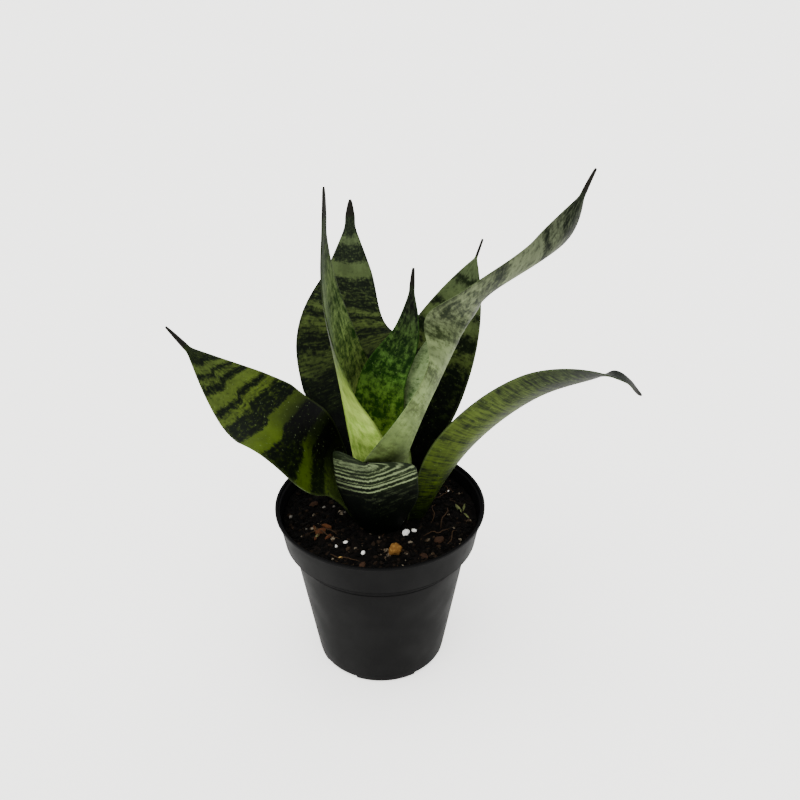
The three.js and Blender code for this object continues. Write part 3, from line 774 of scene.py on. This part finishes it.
def pot_finish():
    material, recipe = new_finish("black plastic")
    place = recipe.place()
    cloud = recipe.grain(place, 60, detail=4)
    pores = recipe.grain(place, 2600)
    scuffs = recipe.grain(recipe.stretch(place, 300, 300, 40), detail=4, roughness=0.7)
    colour = recipe.blend(cloud, "#030303", "#070707")
    colour = recipe.blend(recipe.fade(scuffs, 0.6, 0.85, 0.0, 0.35), colour, "#1b1b1b")
    # painted shade: a dark, rougher band painted round the step under the collar
    height = recipe.add("ShaderNodeSeparateXYZ", {0: place}).outputs["Z"]
    from_painted_shade = recipe.sum("ABSOLUTE", recipe.minus(height, PAINTED_SHADE_HEIGHT * MM))
    painted_shade_band = recipe.fade(from_painted_shade, *(far * MM for far in PAINTED_SHADE_FADE), 1.0, 0.0)
    colour = recipe.blend(recipe.times(painted_shade_band, 0.6), colour, "#020202")
    recipe.dress(Base_Color=colour, Normal=recipe.bump(pores, 0.12, 0.1), Specular_IOR_Level=0.04,
                 Roughness=recipe.sum("MAXIMUM", recipe.fade(cloud, 0.3, 0.7, 0.55, 0.65), painted_shade_band))
    return material


profile_points = [(r * MM - GUIDE_RADIUS, -z * MM, 0) for r, z in POT_PROFILE]  # the sweep turns -Y up
profile = new_mesh("pot profile", profile_points, [], [(k, k + 1) for k in range(len(POT_PROFILE) - 1)])
pot_mesh = run_tree(profile, turning_tree(), {
    "Guide radius": GUIDE_RADIUS, "Sides": POT_SIDES, "Corner radius": CORNER * MM, "Material": pot_finish()}, "pot")
co = np.array([v.co for v in pot_mesh.vertices])
print("turned pot, mm:", (co.min(0) / MM).round(2), (co.max(0) / MM).round(2))

# %% [markdown]
# ## Drain slots
# Four slots let water out through the corner between floor and wall. A Boolean cut gives their true walls. The
# cutters are short sectors of a ring, and they are thrown away once the cut is made.

# %% Cut the drain slots
CUT_MARGIN = 2  # how far a cutter reaches past the pot's foot
SECTOR_STEPS = 8
SHARP_ANGLE = 32  # degrees; a sharper bend than this shows as an edge


def slot_cutter(middle_angle):
    """A block with the outline of a piece of a ring, in millimetres."""
    angles = [math.radians(middle_angle + SLOT.arc * (k / SECTOR_STEPS - 0.5)) for k in range(SECTOR_STEPS + 1)]
    outer_radius = POT.base + CUT_MARGIN
    outline = [(outer_radius * math.cos(a), outer_radius * math.sin(a)) for a in angles]
    outline += [(SLOT.inner_radius * math.cos(a), SLOT.inner_radius * math.sin(a)) for a in reversed(angles)]
    count = len(outline)
    points = [(x * MM, y * MM, z * MM) for z in (-CUT_MARGIN, SLOT.height) for x, y in outline]
    faces = [tuple(reversed(range(count))), tuple(range(count, 2 * count))]
    faces += [(k, (k + 1) % count, count + (k + 1) % count, count + k) for k in range(count)]
    return new_mesh("cutter", points, faces)


cutters = bpy.data.collections.new("slot cutters")
scene.collection.children.link(cutters)
for k in range(SLOT.count):
    cutters.objects.link(bpy.data.objects.new("cutter", slot_cutter(SLOT.first_angle + 360 * k / SLOT.count)))

face_out(pot_mesh)
uncut = show("uncut pot", pot_mesh)
cut = uncut.modifiers.new("slots", "BOOLEAN")
cut.operand_type = "COLLECTION"
cut.collection = cutters
cut.solver = "EXACT"
cut_pot = plain_copy(uncut)
for block in list(cutters.objects):
    bpy.data.objects.remove(block)
bpy.data.collections.remove(cutters)

cut_pot.shade_smooth()
cut_pot.set_sharp_from_angle(angle=math.radians(SHARP_ANGLE))
add_piece("pot_shell", cut_pot, "pot_plastic", "pot")

# %% [markdown]
# ## The potting mix
# The mix fills the pot to a little below its rim. Its surface rises gently towards the crown and is rough at every
# scale, so its height is the construction's own formula with some fine noise on top. The body is closed: the surface
# runs to the wall and then down and across the pot's floor.

# %% Soil body
SOIL = Sizes(level=85.6, mound=2.2, mound_spread=700, bump=0.7, gap=0.35, sides=200, rings=84)
CLOD_LIFT, GRIT_LIFT = 0.8, 0.45  # mm that coarse and fine noise add to the smooth surface


def soil_height(x, y):
    """Height of the mix's smooth surface in millimetres."""
    wave = math.sin(0.31 * x + 1.1) * math.cos(0.27 * y - 0.6) + 0.6 * math.sin(0.74 * x - 0.53 * y)
    ripple = 0.5 * math.cos(1.13 * y + 0.91 * x + 2.0)
    mound = SOIL.mound * math.exp(-(x * x + y * y) / SOIL.mound_spread)
    return SOIL.level + mound + SOIL.bump * 0.5 * (wave + ripple)


def rough_height(x, y):
    clods = noise.fractal(Vector((x * 0.22, y * 0.22, 3.0)), 0.9, 2.1, 4)
    grit = noise.fractal(Vector((x * 0.9, y * 0.9, 9.0)), 0.8, 2.2, 3)
    return soil_height(x, y) + CLOD_LIFT * clods + GRIT_LIFT * grit


def ring_points(radius, height=None):
    points = []
    for k in range(SOIL.sides):
        angle = 2 * math.pi * k / SOIL.sides
        x, y = radius * math.cos(angle), radius * math.sin(angle)
        points.append((x, y, rough_height(x, y) if height is None else height))
    return points


def soil_mesh():
    wall_heights = (POT.floor + SOIL.gap, POT.neck[1], POT.collar[1])
    rings = [ring_points(inner_wall(h) - SOIL.gap, h) for h in wall_heights]
    top_radius = inner_wall(SOIL.level) - SOIL.gap
    rings += [ring_points(top_radius * (1 - k / SOIL.rings)) for k in range(SOIL.rings)]
    return tube_mesh("soil_body", np.array(rings) * MM)


def mix_finish():
    material, recipe = new_finish("damp potting mix")
    place = recipe.place()
    clods = recipe.grain(place, 240, detail=5, roughness=0.7)
    grit = recipe.grain(place, 1500, detail=3, roughness=0.7)
    colour = recipe.ramp(clods, [(0.3, "#020101"), (0.5, "#040302"), (0.68, "#0e0a07")])
    colour = recipe.blend(recipe.fade(grit, 0.66, 0.74), colour, "#2a2119")
    height = recipe.sum("ADD", clods, recipe.times(grit, 0.4))
    recipe.dress(Base_Color=colour, Normal=recipe.bump(height, 0.9, 0.6), Roughness=0.92, Specular_IOR_Level=0.06)
    return material


soil = soil_mesh()
soil.materials.append(mix_finish())
add_piece("soil_body", soil, "potting_mix", "soil")

# %% [markdown]
# ## Crumbs of bark and peat
# The top of the mix is loose crumbs of many sizes. They repeat by the thousand, so Geometry Nodes scatter them over
# the surface by a fixed seed. Each crumb is a ball of twenty faces, stretched, turned and dented by noise, and it
# keeps a random number called tone for the finish to read.

# %% Crumb tree
DENT_SCALE = 900.0  # of the noise that dents the crumbs, in waves per metre
SMALL_MANY = 2.2  # the higher, the fewer crumbs are large
LARGEST_TILT = 0.6  # radians


def crumb_tree():
    recipe, given = node_tree("scatter crumbs", [
        "Density", "Least size", "Greatest size", "Reach", "Flatness", "Length", "Dent"], ["Seed"])

    def draw(seed, low=0.0, high=1.0, kind="FLOAT"):
        feeds = {"Min": low, "Max": high, "Seed": seed}
        return recipe.add("FunctionNodeRandomValue", feeds, data_type=kind).outputs["Value"]

    spots = recipe.add("GeometryNodeDistributePointsOnFaces", {
        "Mesh": given["Geometry"], "Density": given["Density"], "Seed": given["Seed"]}, distribute_method="RANDOM")
    place = recipe.make("GeometryNodeInputPosition")
    flat_place = recipe.vector("MULTIPLY", place, (1, 1, 0))
    from_axis = recipe.add("ShaderNodeVectorMath", {0: flat_place}, operation="LENGTH").outputs["Value"]
    too_far = recipe.sum("GREATER_THAN", from_axis, given["Reach"])
    kept = recipe.make("GeometryNodeDeleteGeometry", {0: spots.outputs["Points"], 1: too_far}, domain="POINT")

    ball = recipe.make("GeometryNodeMeshIcoSphere", {"Radius": 0.5, "Subdivisions": 1})
    share = recipe.sum("POWER", draw(1), SMALL_MANY)
    spread = recipe.minus(given["Greatest size"], given["Least size"])
    size = recipe.sum("MULTIPLY_ADD", share, spread, given["Least size"])
    scale = recipe.make("ShaderNodeCombineXYZ", {
        "X": recipe.times(size, given["Length"]), "Y": size, "Z": recipe.times(size, given["Flatness"])})
    tilt = (LARGEST_TILT, LARGEST_TILT, math.tau)
    turn = draw(2, (-LARGEST_TILT, -LARGEST_TILT, 0), tilt, "FLOAT_VECTOR")
    rotation = recipe.make("FunctionNodeEulerToRotation", {0: turn})
    crumbs = recipe.make("GeometryNodeInstanceOnPoints", {
        "Points": kept, "Instance": ball, "Rotation": rotation, "Scale": scale})
    toned = recipe.make("GeometryNodeStoreNamedAttribute", {
        "Geometry": crumbs, "Name": "tone", "Value": draw(3)}, data_type="FLOAT", domain="INSTANCE")
    real = recipe.make("GeometryNodeRealizeInstances", {0: toned})
    grain = recipe.add("ShaderNodeTexNoise", {"Vector": place, "Scale": DENT_SCALE, "Detail": 2.0}).outputs["Color"]
    dent = recipe.vector("SCALE", recipe.vector("SUBTRACT", grain, (0.5, 0.5, 0.5)), given["Dent"])
    dented = recipe.make("GeometryNodeSetPosition", {"Geometry": real, "Offset": dent})
    return end_tree(recipe, given, dented)


scatter = crumb_tree()
print("crumb tree:", len(scatter.nodes), "nodes")

# %% Finish of the crumbs
def crumb_finish(name, stops, bumpiness=0.5):
    """A finish whose colour goes by each crumb's own tone."""
    material, recipe = new_finish(name)
    cloud = recipe.grain(recipe.place(), 700, detail=4, roughness=0.65)
    varied = recipe.sum("MULTIPLY_ADD", recipe.minus(cloud, 0.5), 0.25, recipe.attribute("tone"))
    recipe.dress(Base_Color=recipe.ramp(varied, stops), Normal=recipe.bump(cloud, bumpiness, 0.4), Roughness=0.9,
                 Specular_IOR_Level=0.06)
    return material


PEAT = [(0.0, "#010101"), (0.5, "#040302"), (0.8, "#0b0805"), (0.93, "#1c140d"), (0.975, "#33281c"), (1.0, "#6b6252")]
peat_finish = crumb_finish("loose peat", PEAT)
print("tones of peat:", len(PEAT))

# %% Scatter the crumbs
SHEET_STEPS = 100  # points along each side of the sheet that crumbs lie on
SHEET_MARGIN = 1  # mm that its edges stay clear of the wall


def soil_surface():
    """An open sheet along the top of the mix, for the crumbs to lie on."""
    top_radius = inner_wall(SOIL.level) - SHEET_MARGIN
    steps = np.linspace(-top_radius, top_radius, SHEET_STEPS)
    points = [(x * MM, y * MM, rough_height(x, y) * MM) for y in steps for x in steps]
    row = SHEET_STEPS
    corners = [j * row + i for j in range(row - 1) for i in range(row - 1)]
    return new_mesh("soil surface", points, [(k, k + 1, k + row + 1, k + row) for k in corners])


WALL_MARGIN = 2.2  # width of the strip along the wall that no crumb's middle lies on
CRUMBS = {  # density per square metre, least and greatest size in mm, flatness, length, dent in mm, seed
    "soil_crumbs": (340000, 0.8, 3.2, 0.7, 1.25, 1.4, 11),
    "soil_slivers": (36000, 0.5, 1.5, 0.5, 4.5, 0.5, 23),
}
for name, (density, least, greatest, flatness, length, dent, seed) in CRUMBS.items():
    crumbs = run_tree(soil_surface(), scatter, {
        "Density": float(density), "Least size": least * MM, "Greatest size": greatest * MM, "Flatness": flatness,
        "Reach": (inner_wall(SOIL.level) - WALL_MARGIN) * MM, "Length": length, "Dent": dent * MM, "Seed": seed,
        "Material": peat_finish}, name)
    add_piece(name, crumbs, "potting_mix")

# %% [markdown]
# ## What lies on the mix
# A few larger things lie on the mix where anyone would notice them: white grains of perlite, chips of bark, a few
# pale shards of grit and some dry root fibres. They are placed one by one, each sunk a little into the surface.

# %% Lumps
COARSE, FINE = 3.1, 7.3  # waves of the two noises over a lump
LUMP_STEP = 7.7  # how far apart two lumps lie in the noise


def lump_points(centre, size, stretch, turn, seed, dents=0.3):
    """The points and faces of a dented lump, in millimetres."""
    shape = bmesh.new()
    bmesh.ops.create_icosphere(shape, subdivisions=3, radius=0.5)
    cos_turn, sin_turn = math.cos(turn), math.sin(turn)
    points = []
    for vertex in shape.verts:
        coarse = noise.noise(vertex.co * COARSE + Vector((seed, 0, 0)))
        fine = noise.noise(vertex.co * FINE + Vector((0, seed, 0)))
        grown = vertex.co * (1 + dents * coarse + 0.5 * dents * fine)
        x, y, z = (grown[axis] * size * stretch[axis] for axis in range(3))
        points.append((centre[0] + x * cos_turn - y * sin_turn, centre[1] + x * sin_turn + y * cos_turn,
                       centre[2] + z))
    faces = [tuple(v.index for v in face.verts) for face in shape.faces]
    shape.free()
    return points, faces


def joined_mesh(name, parts, tones):
    """One mesh from several lists of points and faces, with each part's tone."""
    points, faces, tone = [], [], []
    for (part_points, part_faces), part_tone in zip(parts, tones):
        faces += [tuple(index + len(points) for index in face) for face in part_faces]
        points += part_points
        tone += [part_tone] * len(part_points)
    mesh = new_mesh(name, [tuple(c * MM for c in point) for point in points], faces)
    mesh.shade_smooth()
    note(mesh, "tone", tone)
    face_out(mesh)
    return mesh


def lying_lumps(name, rows, sink):
    """rows: (x, y, size, stretch, turn, tone). Each lump lies on the mix, sunk by a share of its height."""
    parts = []
    for seed, (x, y, size, stretch, turn, _) in enumerate(rows):
        height = rough_height(x, y) + size * stretch[2] * (0.5 - sink)
        parts.append(lump_points((x, y, height), size, stretch, turn, seed * LUMP_STEP))
    return joined_mesh(name, parts, [row[-1] for row in rows])


print("points of one lump:", len(lump_points((0, 0, 0), 1, (1, 1, 1), 0, 0)[0]))

# %% Larger grains and chips
PERLITE = [  # x, y, size, stretch, turn, tone
    (-16.7, -24.8, 2.4, (1, 0.9, 0.8), 0.3, 0.9), (-7.9, -32.7, 2.3, (1, 0.8, 0.8), 1.2, 1.0),
    (-21.6, -26.4, 1.7, (1, 0.8, 0.8), 2.0, 0.8), (13.3, -17.5, 4.2, (1, 0.8, 0.8), 0.9, 0.95),
    (17.4, -15.9, 2.6, (1, 0.8, 0.7), 2.6, 0.85), (11.3, -8.4, 2.4, (1, 0.9, 0.8), 0.1, 0.8),
    (-29.6, 5.4, 1.6, (1.2, 0.8, 0.7), 0.5, 0.6), (-24.3, 5.4, 1.4, (1, 0.8, 0.8), 1.5, 0.6),
    (-18.3, 0.1, 1.5, (1, 0.9, 0.8), 2.4, 0.55), (-37.7, -11.8, 1.5, (1, 0.7, 0.7), 0.2, 0.5),
    (-46.2, -3.3, 1.8, (1, 0.9, 0.8), 1.0, 0.6), (-11.9, -4.2, 1.4, (1, 0.8, 0.8), 1.9, 0.5),
    (14.5, -0.7, 1.4, (1, 0.8, 0.8), 0.6, 0.5), (24.0, 20.0, 2.6, (1, 0.8, 0.8), 0.4, 0.9),
    (-22.0, 31.0, 2.9, (1, 0.9, 0.7), 1.8, 0.8), (8.0, 38.0, 2.2, (1, 0.8, 0.8), 2.8, 0.9),
    (36.0, 20.0, 1.9, (1, 0.9, 0.8), 0.9, 0.8), (-36.0, 19.0, 2.3, (1, 0.8, 0.8), 2.2, 0.85),
]
CHIPS = [
    (7.8, -31.4, 6.4, (0.95, 1.05, 1.05), 2.5, 0.8), (-19.1, -35.0, 2.8, (1, 0.6, 0.5), 0.4, 1.0),
    (41.0, 4.0, 6.8, (0.2, 1, 0.3), 0.45, 0.35), (43.8, 5.3, 6.0, (0.2, 1, 0.3), -0.2, 0.3),
    (44.8, -1.5, 4.8, (0.2, 1, 0.3), 0.5, 0.33), (-29.7, -15.9, 6.5, (1, 0.45, 0.5), 0.5, 0.52),
    (-33.0, -13.0, 5.0, (1, 0.35, 0.4), 1.9, 0.48), (-27.0, -12.0, 5.5, (1, 0.3, 0.5), 2.7, 0.54),
    (-31.5, -20.0, 5.2, (1, 0.3, 0.4), 1.2, 0.47), (-25.5, -19.0, 5.5, (1, 0.35, 0.4), 0.9, 0.5),
    (23.3, 0.1, 5.0, (0.35, 0.3, 1.1), 0.3, 0.6),
    (30.0, -22.0, 6.0, (1, 0.7, 0.4), 0.7, 0.1), (22.0, -34.0, 5.2, (1, 0.6, 0.4), 2.3, 0.05),
    (-8.0, -41.0, 4.8, (1, 0.7, 0.4), 1.4, 0.1), (30.0, 27.0, 6.5, (1, 0.6, 0.4), 1.1, 0.15),
    (-12.0, 40.0, 6.8, (1, 0.6, 0.4), 2.7, 0.2), (-35.0, 8.0, 5.4, (1, 0.7, 0.4), 0.8, 0.1),
    (15.0, 33.0, 5.0, (1, 0.7, 0.4), 0.2, 0.55), (-30.0, 28.0, 5.6, (1, 0.6, 0.4), 1.9, 0.5),
]
GREY_TO_WHITE = [(0.4, "#3e3a32"), (0.65, "#77726a"), (0.8, "#cfccc2"), (1.0, "#f1efe8")]
BARK = [(0.0, "#1d130d"), (0.2, "#3a281b"), (0.3, "#4c5230"), (0.4, "#6d7148"), (0.48, "#3a2014"), (0.65, "#5c3b1f"),
        (0.8, "#5f401a"), (1.0, "#b39150")]
for name, rows, sink, stops, bumpiness in (("perlite_grains", PERLITE, 0.25, GREY_TO_WHITE, 0.9),
                                           ("bark_chips", CHIPS, 0.3, BARK, 0.8)):
    lumps = lying_lumps(name, rows, sink)
    lumps.materials.append(crumb_finish(name, stops, bumpiness))
    add_piece(name, lumps, "potting_mix")

# %% [markdown]
# ## Dry root fibres
# Some thin dead roots curl over the surface. Each follows a smooth line through a few points, and a Geometry Nodes
# tree gives every line a round section that tapers to both ends.

# %% Fibre tree
BLUNTNESS = 0.6  # the lower, the blunter a fibre's two ends


def fibre_tree():
    recipe, given = node_tree("thicken fibres", ["Radius"], ["Sides"])
    line = recipe.make("GeometryNodeMeshToCurve", {"Mesh": given["Geometry"]})
    along = recipe.add("GeometryNodeSplineParameter").outputs["Factor"]
    half_turn = recipe.sum("MULTIPLY_ADD", along, math.pi * 0.96, 0.06)  # a little less, so no end is a bare point
    swell = recipe.sum("POWER", recipe.sum("SINE", half_turn), BLUNTNESS)
    section = recipe.make("GeometryNodeCurvePrimitiveCircle", {
        "Radius": given["Radius"], "Resolution": given["Sides"]})
    thick = recipe.make("GeometryNodeSetCurveRadius", {"Curve": line, "Radius": swell})
    tube = recipe.make("GeometryNodeCurveToMesh", {
        "Curve": thick, "Profile Curve": section, "Fill Caps": True, "Scale": swell})
    return end_tree(recipe, given, tube)


thicken = fibre_tree()
print("fibre tree:", len(thicken.nodes), "nodes")

# %% Lay the fibres
FIBRES = [  # points on the surface (x, y, lift) in mm
    [(1, -21, 0.5), (4, -17, 1.5), (8, -12, 1.2), (12, -8, 0.6)],
    [(-9, -15.5, 0.4), (-7, -13.5, 1.2), (-4.5, -13, 1.1), (-2.5, -14.5, 0.4)],
    [(-36, -18, 0.4), (-31, -15, 1.6), (-26, -15.5, 1.4), (-21, -18, 0.5)],
    [(-33, -12, 0.4), (-30, -16.5, 1.8), (-24, -20.5, 1.0), (-20, -22, 0.4)],
    [(33, -27, 0.4), (36, -22, 1.0), (37, -16, 0.9), (41, -12, 0.4)],
    [(-14, 36, 0.4), (-8, 33, 1.2), (-2, 35, 1.1), (3, 33, 0.4)],
    [(28, 12, 0.4), (33, 15, 1.3), (36, 21, 1.0), (34, 27, 0.4)],
    [(-26, -33, 0.4), (-20, -36, 0.9), (-14, -37, 0.8), (-9, -39, 0.4)],
    [(26, -9, 0.4), (28, -3, 1.6), (27, 3, 1.8), (29, 8, 0.4)],
    [(31, -13, 0.4), (32, -6, 1.2), (35, 0, 1.4), (35, 6, 0.4)],
    [(22, -20, 0.4), (27, -16, 1.0), (30, -17, 1.2), (36, -13, 0.4)],
]
FIBRE_STEPS = 24
fibre_points, fibre_edges = [], []
for fibre in FIBRES:
    flat_line, _ = smooth_line(fibre, FIBRE_STEPS)
    first = len(fibre_points)
    fibre_points += [(x * MM, y * MM, (rough_height(x, y) + lift) * MM) for x, y, lift in flat_line]
    fibre_edges += [(first + k, first + k + 1) for k in range(FIBRE_STEPS - 1)]
DRY_ROOT = [(0.0, "#33261a"), (1.0, "#6d583c")]
fibres = run_tree(new_mesh("fibre lines", fibre_points, [], fibre_edges), thicken, {
    "Radius": 0.3 * MM, "Sides": 7, "Material": crumb_finish("dry root", DRY_ROOT)}, "root_fibres")
fibres.shade_smooth()
add_piece("root_fibres", fibres, "potting_mix")

# %% [markdown]
# ## The crown
# Under the surface the leaves join in a short thick rootstock. It is hidden in the mix, so the construction's own
# solid is right as it stands and only gets its finish.

# %% Crown finish
def rootstock_finish():
    material, recipe = new_finish("rootstock")
    place = recipe.place()
    cloud = recipe.grain(place, 180, detail=5, roughness=0.6)
    rings = recipe.grain(recipe.stretch(place, 60, 60, 700), detail=3)
    colour = recipe.ramp(cloud, [(0.3, "#6a4c22"), (0.55, "#a67c3a"), (0.75, "#c49a57")])
    recipe.dress(Base_Color=colour, Normal=recipe.bump(rings, 0.5, 0.5), Roughness=0.75)
    return material


crown = frame["nodes"]["crown"]
crown.data.materials.clear()
crown.data.materials.append(rootstock_finish())
print("pieces of the frame that still show:", [n for n, o in frame["nodes"].items() if not o.hide_render])

# %% Sizes
bpy.context.view_layer.update()
boxes = {"frame": frame_box, "visual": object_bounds()}
for key, box in boxes.items():
    print(key, [[round(c / MM, 2) for c in corner] for corner in box])
